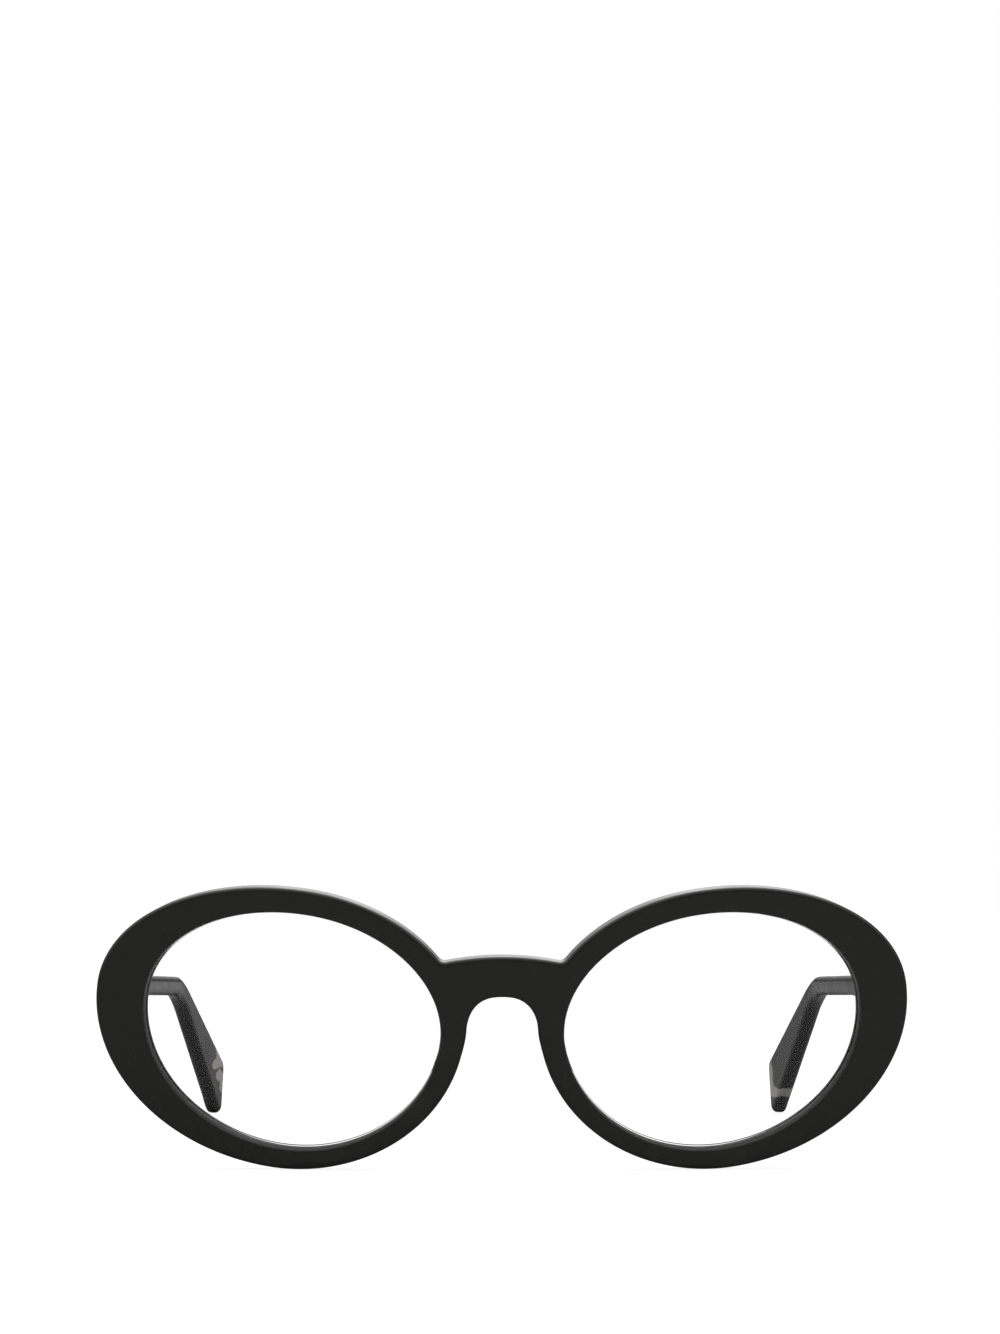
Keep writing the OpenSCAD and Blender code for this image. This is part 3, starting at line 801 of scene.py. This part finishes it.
def turn_in(obj, arm, outer, root_y, bend_y):
    """Leans the arm in from its joint, and turns its tip in behind the ear."""

    def ahead(turn):
        return Vector((-math.sin(turn), math.cos(turn), 0))

    lean = math.atan2(arm.lean, arm.reach)
    pick_points(obj, lambda p: p.y > root_y + TINY)
    rotate(-lean, "Z", (outer, root_y, 0))
    left = arm.turn - lean
    reach = arm.turn_r * math.tan(left / 2)
    at = Vector((outer - arm.lean, bend_y, 0)) - ahead(lean) * reach
    pick_points(obj, lambda p: p.y > at.y)
    resize((1, 1 / math.cos(arm.turn), 1), at)
    heading, steps = lean, 14
    stretch = arm.turn_r * left / steps
    for i in range(steps):
        at = at + ahead(heading) * stretch / (2 if i == 0 else 1)
        pick_points(obj, lambda p: p.y > at.y)
        rotate(-left / steps, "Z", at)
        heading += left / steps


def build_arm(arm):
    """An arm, drawn out from its joint, thinned, turned in behind the ear and rounded."""
    stations = arm_stations(arm)
    outer, root_y, bend_y = ARM_BOX[1].x, stations[0][0].y, PIN.y + arm.reach
    obj = draw_out(arm, stations, outer)
    edit(obj)
    round_end(obj, arm, stations)
    thin_out(obj, arm, outer, root_y, bend_y)
    turn_in(obj, arm, outer, root_y, bend_y)

    def by_joint(edge):
        return all(v.co.y < root_y + 2 * TINY for v in edge.verts)

    bevel(obj, lambda e: sharp(e) and not by_joint(e), arm.edge_r, 5)
    bevel(obj, lambda e: sharp(e) and by_joint(e), FINE_R, 2)
    done()
    outwards(obj)
    return obj


# Materials: what more than one finish uses is a node group

def feed(tree, made, inputs):
    """Gives a node its inputs: a socket is linked, and a value is set on the node's own one."""
    for key, value in inputs.items():
        if isinstance(value, bpy.types.NodeSocket):
            tree.links.new(value, made.inputs[key])
        else:
            made.inputs[key].default_value = value


def node(tree, kind, inputs=None, **settings):
    made = tree.nodes.new("ShaderNode" + kind)
    for key, value in settings.items():
        setattr(made, key, value)
    feed(tree, made, inputs or {})
    return made


def maths(tree, operation, a, b):
    return node(tree, "Math", {0: a, 1: b}, operation=operation).outputs["Value"]


def vectors(tree, operation, a, b):
    return node(tree, "VectorMath", {0: a, 1: b}, operation=operation).outputs["Vector"]


def ramp(tree, factor, stops):
    made = node(tree, "ValToRGB", {"Fac": factor})
    elements = made.color_ramp.elements
    for at, value in stops[1:-1]:
        elements.new(at).color = (*value, 1)
    for element, (at, value) in zip(elements, stops):
        element.position, element.color = at, (*value, 1)
    return made.outputs["Color"]


def span(tree, value, low, high, to_low=0.0, to_high=1.0):
    return node(tree, "MapRange", {
        "Value": value, "From Min": low, "From Max": high, "To Min": to_low,
        "To Max": to_high}).outputs["Result"]


def noise(tree, vector, scale, detail=3.0, roughness=0.5, output="Fac"):
    return node(tree, "TexNoise", {
        "Vector": vector, "Scale": scale, "Detail": detail,
        "Roughness": roughness}).outputs[output]


def bump(tree, height, strength, distance=0.00002):
    return node(tree, "Bump", {
        "Height": height, "Strength": strength, "Distance": distance}).outputs["Normal"]


def grey(level):
    return (level, level, level)


def shade(value, share):
    return [c * share for c in value]


def group(name, inputs, outputs):
    """A node group's tree, the sockets that it reads and the ones that it puts out."""
    tree = bpy.data.node_groups.new(name, "ShaderNodeTree")
    for label, kind, default in inputs:
        socket = tree.interface.new_socket(label, in_out="INPUT", socket_type="NodeSocket" + kind)
        if default is not None:
            socket.default_value = default
    for label in outputs:
        tree.interface.new_socket(label, in_out="OUTPUT", socket_type="NodeSocketFloat")
    given, result = tree.nodes.new("NodeGroupInput"), tree.nodes.new("NodeGroupOutput")
    return tree, given.outputs, result.inputs


def placed(tree, maker, inputs):
    """The sockets of an effect that is built once and has this material's own values."""
    effect = bpy.data.node_groups.get(maker.__name__) or maker()
    return node(tree, "Group", inputs, node_tree=effect).outputs


def polish_marks():
    """Haze and fine rubbing marks, as tumbling and wiping leave them on plastic and metal."""
    tree, given, result = group(
        "polish_marks",
        [("Vector", "Vector", None), ("Haze Scale", "Float", 90.0), ("Mark Scale", "Float", 400.0)],
        ["Haze", "Marks"])
    tree.links.new(noise(tree, given["Vector"], given["Haze Scale"], 4.0, 0.6), result["Haze"])
    marks = []
    for turn, stretch in (((0.4, 0.2, 0.5), (1, 0.04, 1)), ((1.3, 0.7, 2.1), (0.04, 1, 1))):
        laid = node(tree, "Mapping", {
            "Vector": given["Vector"], "Rotation": turn, "Scale": stretch}).outputs["Vector"]
        marks.append(span(tree, noise(tree, laid, given["Mark Scale"], 2.0), 0.56, 0.72))
    tree.links.new(maths(tree, "ADD", *marks), result["Marks"])
    return tree


def metal_grain():
    """Fine grain drawn out along one direction, as rolling, brushing and grinding leave it."""
    tree, given, result = group(
        "metal_grain",
        [("Vector", "Vector", None), ("Scale", "Float", 2500.0),
         ("Direction", "Vector", (1.0, 0.06, 1.0))],
        ["Grain", "Stain"])
    laid = vectors(tree, "MULTIPLY", given["Vector"], given["Direction"])
    tree.links.new(noise(tree, laid, given["Scale"], 3.0, 0.6), result["Grain"])
    tree.links.new(noise(tree, given["Vector"], 320.0, 3.0, 0.6), result["Stain"])
    return tree


def new_material(name):
    """A material with its tree emptied, its shader and the object's own coordinates."""
    material = bpy.data.materials.new(name)
    material.use_nodes = True
    tree = material.node_tree
    tree.nodes.clear()
    shader = node(tree, "BsdfPrincipled")
    node(tree, "OutputMaterial", {"Surface": shader.outputs["BSDF"]})
    return material, tree, shader, node(tree, "TexCoord").outputs["Object"]


def show(tree, surface):
    """Makes another shader what the material shows."""
    tree.links.new(surface, tree.get_output_node("ALL").inputs["Surface"])


def black_acetate_of(f, name, low, high, gloss=0.5):
    """Black acetate whose polish varies between two roughnesses."""
    material, tree, shader, coords = new_material(name)
    marks = placed(tree, polish_marks, {"Vector": coords, "Haze Scale": 120.0, "Mark Scale": 900.0})
    feed(tree, shader, {
        "Base Color": ramp(tree, marks["Haze"], [
            (0.3, f.black), (0.5, f.black), (0.75, shade(f.black, 1.5))]),
        "Roughness": span(tree, marks["Haze"], 0.3, 0.7, low, high),
        "Normal": bump(tree, marks["Marks"], 0.02),
        "IOR": 1.49, "Specular IOR Level": gloss})
    return material


def satin_acetate(f):
    """Satin black acetate, as it is tumbled and wiped."""
    return black_acetate_of(f, "satin_acetate", 0.25, 0.34)


def sawn_acetate(f):
    """Dull black acetate, as the cutter leaves it round the lenses."""
    return black_acetate_of(f, "sawn_acetate", 0.5, 0.6, 0.12)


def chip(tree, coords, wobble, centre, size):
    """A mask round one place, with a wavering edge."""
    away = vectors(tree, "SUBTRACT", coords, shade(centre, 0.001))
    shares = vectors(tree, "DIVIDE", away, shade(size, 0.001))
    far = node(tree, "VectorMath", {0: shares}, operation="LENGTH").outputs["Value"]
    return span(tree, maths(tree, "ADD", far, wobble), 1.12, 0.88)


def marbled_acetate(f):
    """Marbled acetate: dark and grey-brown clouds with brown veins, and pale chips at the tips."""
    material, tree, shader, coords = new_material("marbled_acetate")
    laid = node(tree, "Mapping", {
        "Vector": coords, "Scale": (1.0, 0.5, 1.0),
        "Location": (0.011, 0.004, 0.007)}).outputs["Vector"]
    warp = vectors(tree, "MULTIPLY", noise(tree, laid, 110.0, 2.0, output="Color"), grey(0.008))
    flow = vectors(tree, "ADD", laid, warp)
    clouds = ramp(tree, noise(tree, flow, 240.0, 6.0, 0.55), [
        (0.32, f.havana_dark), (0.47, f.havana_mid), (0.56, f.havana_dark),
        (0.63, f.havana_warm), (0.74, f.havana_mid)])
    wobble = span(tree, noise(tree, flow, 300.0, 4.0), 0.2, 0.8, -0.5, 0.5)
    pale = 0.0
    for centre, size in CHIPS:
        pale = maths(tree, "MAXIMUM", pale, chip(tree, coords, wobble, centre, size))
    mixed = node(tree, "Mix", {"Factor": pale, "A": clouds, "B": (*f.havana_pale, 1)},
                 data_type="RGBA").outputs["Result"]
    marks = placed(tree, polish_marks, {"Vector": coords, "Haze Scale": 150.0, "Mark Scale": 900.0})
    feed(tree, shader, {
        "Base Color": mixed,
        "Roughness": span(tree, marks["Haze"], 0.3, 0.7, 0.20, 0.28),
        "Normal": bump(tree, marks["Marks"], 0.02),
        "IOR": 1.4, "Specular IOR Level": 0.36})
    return material


def coated_lens(f):
    """Clear plastic with an anti-reflective coating, so it mirrors less than bare plastic would."""
    material, tree, shader, coords = new_material("coated_lens")
    feed(tree, shader, {
        "Base Color": (0.995, 0.997, 0.997, 1), "Roughness": 0.0, "IOR": 1.18,
        "Transmission Weight": 1.0})
    light = node(tree, "LightPath").outputs
    through = node(tree, "BsdfTransparent", {"Color": (0.97, 0.98, 0.98, 1)})
    show(tree, node(tree, "MixShader", {
        0: light["Is Shadow Ray"], 1: shader.outputs["BSDF"],
        2: through.outputs["BSDF"]}).outputs["Shader"])
    return material


def ground_edge(f):
    """The lens's edge, ground matt to fit the rim, with the grinding wheel's fine lines."""
    material, tree, shader, coords = new_material("ground_edge")
    lines = placed(tree, metal_grain, {
        "Vector": coords, "Scale": 3000.0, "Direction": (1.0, 0.1, 1.0)})
    feed(tree, shader, {
        "Base Color": ramp(tree, lines["Stain"], [(0.3, grey(0.07)), (0.7, grey(0.11))]),
        "Normal": bump(tree, lines["Grain"], 0.1, 0.00001),
        "Roughness": 0.7, "Specular IOR Level": 0.2})
    return material


def metal(name, value, scale, direction, rough):
    """Brushed or turned metal with its grain and faint stains."""
    material, tree, shader, coords = new_material(name)
    grain = placed(tree, metal_grain, {"Vector": coords, "Scale": scale, "Direction": direction})
    feed(tree, shader, {
        "Base Color": ramp(tree, grain["Stain"], [
            (0.3, shade(value, 0.72)), (0.5, value), (0.8, value)]),
        "Roughness": span(tree, grain["Grain"], 0.3, 0.7, rough * 0.8, rough * 1.25),
        "Normal": bump(tree, grain["Grain"], 0.12),
        "Metallic": 1.0})
    return material


def blue_nylon(f):
    """Blue nylon with the haze and rub of a small moulded ring."""
    material, tree, shader, coords = new_material("blue_nylon")
    marks = placed(tree, polish_marks, {
        "Vector": coords, "Haze Scale": 900.0, "Mark Scale": 3000.0})
    feed(tree, shader, {
        "Base Color": ramp(tree, marks["Haze"], [
            (0.3, shade(f.nylon, 0.8)), (0.5, f.nylon), (0.7, shade(f.nylon, 1.15))]),
        "Roughness": span(tree, marks["Haze"], 0.3, 0.7, 0.45, 0.6),
        "Normal": bump(tree, marks["Marks"], 0.1)})
    return material


# Operators, one for each piece or group of like pieces

def settle(obj, material, body, slot, *nodes):
    """Finishes a new piece, hangs it on the body that it rides on, and hides the solids that it
    stands for.
    """
    close_solid(obj)
    smooth(obj)
    give(obj, material)
    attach(obj, body)
    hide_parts(*nodes)


def the(maker):
    """The material that a function makes, made once and shared from then on."""
    return bpy.data.materials.get(maker.__name__) or maker(bpy.context.scene.eyeglass_finish)


class MakeFront(bpy.types.Operator):
    """Models the rims and the bridge as one bent sheet with a groove for each lens"""
    bl_idname = "eyeglasses.front"
    bl_label = "Front"

    def execute(self, context):
        scene = context.scene
        front = build_front(scene.eyeglass_front, scene.eyeglass_lens)
        settle(front, the(satin_acetate), "front", "black_acetate", "front_frame")
        give_marked(front, "sawn", the(sawn_acetate))
        return {"FINISHED"}


class MakeLenses(bpy.types.Operator):
    """Models the two curved lenses with the tongues that sit in the rims' grooves"""
    bl_idname = "eyeglasses.lenses"
    bl_label = "Lenses"

    def execute(self, context):
        scene = context.scene
        for obj, side in pair(build_lens(scene.eyeglass_front, scene.eyeglass_lens)):
            settle(obj, the(coated_lens), "front", "clear_lens", f"lens_{side}")
            give_marked(obj, "ground", the(ground_edge))
        return {"FINISHED"}


class MakePads(bpy.types.Operator):
    """Models the nose pads on the backs of the rims"""
    bl_idname = "eyeglasses.pads"
    bl_label = "Nose pads"

    def execute(self, context):
        scene = context.scene
        for obj, side in pair(build_pad(scene.eyeglass_front, scene.eyeglass_pad)):
            settle(obj, the(satin_acetate), "front", "black_acetate", f"nose_pad_{side}")
        return {"FINISHED"}


class MakeBlocks(bpy.types.Operator):
    """Models the blocks behind the front that the arms butt against"""
    bl_idname = "eyeglasses.blocks"
    bl_label = "End blocks"

    def execute(self, context):
        for obj, side in pair(build_block(context.scene.eyeglass_arm)):
            settle(obj, the(satin_acetate), "front", "black_acetate", f"end_block_{side}")
        return {"FINISHED"}


class MakeArms(bpy.types.Operator):
    """Models the two arms with their bent ear tips"""
    bl_idname = "eyeglasses.arms"
    bl_label = "Arms"

    def execute(self, context):
        for obj, side in pair(build_arm(context.scene.eyeglass_arm)):
            settle(obj, the(marbled_acetate), f"arm_{side}", "havana_acetate", f"temple_{side}")
        return {"FINISHED"}


class FinishHinges(bpy.types.Operator):
    """Gives the hinges, screws, locking rings, pins and core wires their metal and nylon"""
    bl_idname = "eyeglasses.hinges"
    bl_label = "Hinges and inner parts"

    def execute(self, context):
        f = context.scene.eyeglass_finish
        hinge = metal("brushed_hinge", f.metal, 2600.0, (1.0, 1.0, 0.05), 0.30)
        screw = metal("turned_screw", f.screw, 3200.0, (1.0, 1.0, 0.3), 0.24)
        core = metal("drawn_core", f.metal, 2000.0, (1.0, 0.05, 1.0), 0.34)
        for kind, material in (
                ("front_hinge", hinge), ("temple_hinge", hinge), ("hinge_screw", screw),
                ("temple_rivets", screw), ("core_wire", core), ("screw_lock", blue_nylon(f))):
            for side in ("right", "left"):
                for slot in frame["nodes"][f"{kind}_{side}"].material_slots:
                    slot.material = material
        return {"FINISHED"}


def build_floor(size):
    """A wide slab with a rounded edge, its top on the table's level."""
    thick = 0.05
    obj = start("floor", bpy.ops.mesh.primitive_cube_add, size=1, location=(0, 0, -thick / 2),
                scale=(size, size, thick))
    pick(obj, "FACE", lambda f: f.normal.z > 0.9)
    bpy.ops.mesh.inset(thickness=size / 3)
    bevel(obj, lambda e: sharp(e) and all(v.co.z > -TINY for v in e.verts), 0.02, 4)
    done()
    give(obj, floor_white())


def seen_light(tree):
    """The light path's sockets, and 1 for what is seen straight or through a lens."""
    light = node(tree, "LightPath").outputs
    return light, maths(tree, "MAXIMUM", light["Is Camera Ray"], light["Is Transmission Ray"])


def floor_white():
    """Matt and pale, near white where it is seen, and dim where the acetate mirrors it, but for
    painted reflections: glowing bands that only mirrored rays see.
    """
    material, tree, shader, coords = new_material("floor_white")
    tree.nodes.remove(shader)
    matt = node(tree, "BsdfDiffuse", {
        "Color": ramp(tree, noise(tree, coords, 400.0), [(0.3, grey(0.30)), (0.7, grey(0.31))])})
    spot = node(tree, "SeparateXYZ", {"Vector": coords}).outputs
    # Painted reflections and painted shade: the floor glows for mirrored rays only. One band starts
    # 0.09 m in front, so the face mirrors it and the lower rim, which mirrors the floor close in
    # front, stays darker. Another band lies behind, brighter on the side of positive x, for the
    # arms to mirror.
    before = span(tree, spot["Y"], -0.15, -0.09, 0.07, 0.0)
    behind = maths(tree, "MULTIPLY", span(tree, spot["Y"], 0.3, 0.5, 0.05, 0.17),
                   span(tree, spot["X"], -0.03, 0.03, 0.45, 1.0))
    light, seen = seen_light(tree)
    mirror = maths(tree, "MULTIPLY", light["Is Glossy Ray"], maths(tree, "ADD", before, behind))
    strength = maths(tree, "MAXIMUM", maths(tree, "MULTIPLY", seen, 0.86), mirror)
    glow = node(tree, "Emission", {"Strength": strength})
    show(tree, node(tree, "AddShader", {
        0: matt.outputs["BSDF"], 1: glow.outputs["Emission"]}).outputs["Shader"])
    material.cycles.emission_sampling = "NONE"
    return material


def lamp(name, place_at, size, power):
    """A large soft lamp that is aimed at the middle of the eyeglasses."""
    bpy.ops.object.light_add(type="AREA", location=place_at)
    obj = bpy.context.object
    obj.name = name
    obj.data.shape, obj.data.size, obj.data.size_y = "RECTANGLE", size[0], size[1]
    obj.data.energy = power
    obj.rotation_mode = "QUATERNION"
    obj.rotation_quaternion = (Vector(place_at) - Vector((0, 0, 0.02))).to_track_quat("Z", "Y")


def light_world(fill):
    """White where it is seen, a studio where it is mirrored, and an even grey light elsewhere."""
    world = bpy.data.worlds.new("studio")
    bpy.context.scene.world = world
    world.use_nodes = True
    world.cycles.sampling_method = "NONE"  # a ray that is aimed at it can't tell that it is glossy
    tree = world.node_tree
    tree.nodes.clear()
    way = node(tree, "SeparateXYZ", {"Vector": node(tree, "TexCoord").outputs["Generated"]})
    side, back, up = (way.outputs[axis] for axis in "XYZ")
    # The studio: a dim room with a paler ceiling, and a bright wall behind that is dimmer aside
    room = maths(tree, "ADD", span(tree, back, -1.0, 1.0, 0.12, 0.10),
                 span(tree, up, 0.15, 0.9, 0.0, 0.6))
    wall = maths(tree, "MULTIPLY", span(tree, back, 0.0, 0.6, 0.0, 1.7),
                 span(tree, up, 0.10, 0.24))
    aside = maths(tree, "MULTIPLY", span(tree, side, 0.15, 0.45, 1.0, 0.0),
                  span(tree, side, -0.2, -0.04, 0.4, 1.0))
    mirror = maths(tree, "ADD", room, maths(tree, "MULTIPLY", wall, aside))
    light, seen = seen_light(tree)
    unseen = node(tree, "Mix", {"Factor": light["Is Glossy Ray"], "A": fill, "B": mirror},
                  data_type="FLOAT").outputs["Result"]
    strength = node(tree, "Mix", {"Factor": seen, "A": unseen, "B": 1.0},
                    data_type="FLOAT").outputs["Result"]
    ground = node(tree, "Background", {"Color": (1, 1, 1, 1), "Strength": strength})
    node(tree, "OutputWorld", {"Surface": ground.outputs["Background"]})


class MakeStage(bpy.types.Operator):
    """Sets the pale floor, the soft lamps and the camera"""
    bl_idname = "eyeglasses.stage"
    bl_label = "Stage"

    def execute(self, context):
        scene = context.scene
        stage, s = scene.eyeglass_stage, scene.eyeglass_front
        build_floor(stage.floor_size)
        light_world(stage.fill)
        nothing_selected()
        lamp("lamp_overhead", (0, 0.15, 0.95), (1.3, 1.0), stage.lamp_power)
        for name, x in (("lamp_left", 0.95), ("lamp_right", -0.95)):
            lamp(name, (x, -0.35, 0.55), (0.5, 1.0), stage.lamp_power * 0.35)

        up, side = stage.camera_height, stage.camera_side
        back = Vector((
            -math.sin(side) * math.cos(up), -math.cos(side) * math.cos(up), math.sin(up)))
        bridge = front_matrix(s).translation - Vector((stage.camera_shift, 0, 0))
        bpy.ops.object.camera_add(location=bridge + back * stage.camera_distance)
        camera = context.object
        camera.name = "camera"
        camera.rotation_euler = (math.pi / 2 - up + stage.camera_raise, 0, -side)
        lens = camera.data
        lens.sensor_fit, lens.sensor_width, lens.lens = "AUTO", 36, stage.focal
        lens.clip_start, lens.clip_end = 0.01, 100
        scene.camera = camera
        scene.view_settings.view_transform = "Standard"
        return {"FINISHED"}


class EyeglassPanel(bpy.types.Panel):
    """Lists the pieces, their sizes and their finishes"""
    bl_idname = "VIEW3D_PT_eyeglasses"
    bl_label = "Oval eyeglasses"
    bl_space_type = "VIEW_3D"
    bl_region_type = "UI"
    bl_category = "Eyeglasses"

    def draw(self, context):
        for operator in OPERATORS:
            self.layout.operator(operator.bl_idname)
        for name in SETTINGS:
            box = self.layout.box()
            settings = getattr(context.scene, name)
            box.label(text=settings.bl_rna.name)
            for key in settings.__annotations__:
                box.prop(settings, key)


OPERATORS = (MakeFront, MakeLenses, MakePads, MakeBlocks, MakeArms, FinishHinges, MakeStage)
SETTINGS = {
    "eyeglass_front": FrontSizes, "eyeglass_lens": LensSizes, "eyeglass_pad": PadSizes,
    "eyeglass_arm": ArmSizes, "eyeglass_finish": Finishes, "eyeglass_stage": StageSettings,
}


def register():
    for kind in (*SETTINGS.values(), *OPERATORS, EyeglassPanel):
        bpy.utils.register_class(kind)
    for name, kind in SETTINGS.items():
        setattr(bpy.types.Scene, name, bpy.props.PointerProperty(type=kind))


def unregister():
    for name in SETTINGS:
        delattr(bpy.types.Scene, name)
    for kind in (EyeglassPanel, *reversed(OPERATORS), *reversed(SETTINGS.values())):
        bpy.utils.unregister_class(kind)


def main():
    register()
    bpy.ops.eyeglasses.front()
    bpy.ops.eyeglasses.lenses()
    bpy.ops.eyeglasses.pads()
    bpy.ops.eyeglasses.blocks()
    bpy.ops.eyeglasses.arms()
    bpy.ops.eyeglasses.hinges()
    bpy.ops.eyeglasses.stage()


if __name__ == "__main__":
    main()
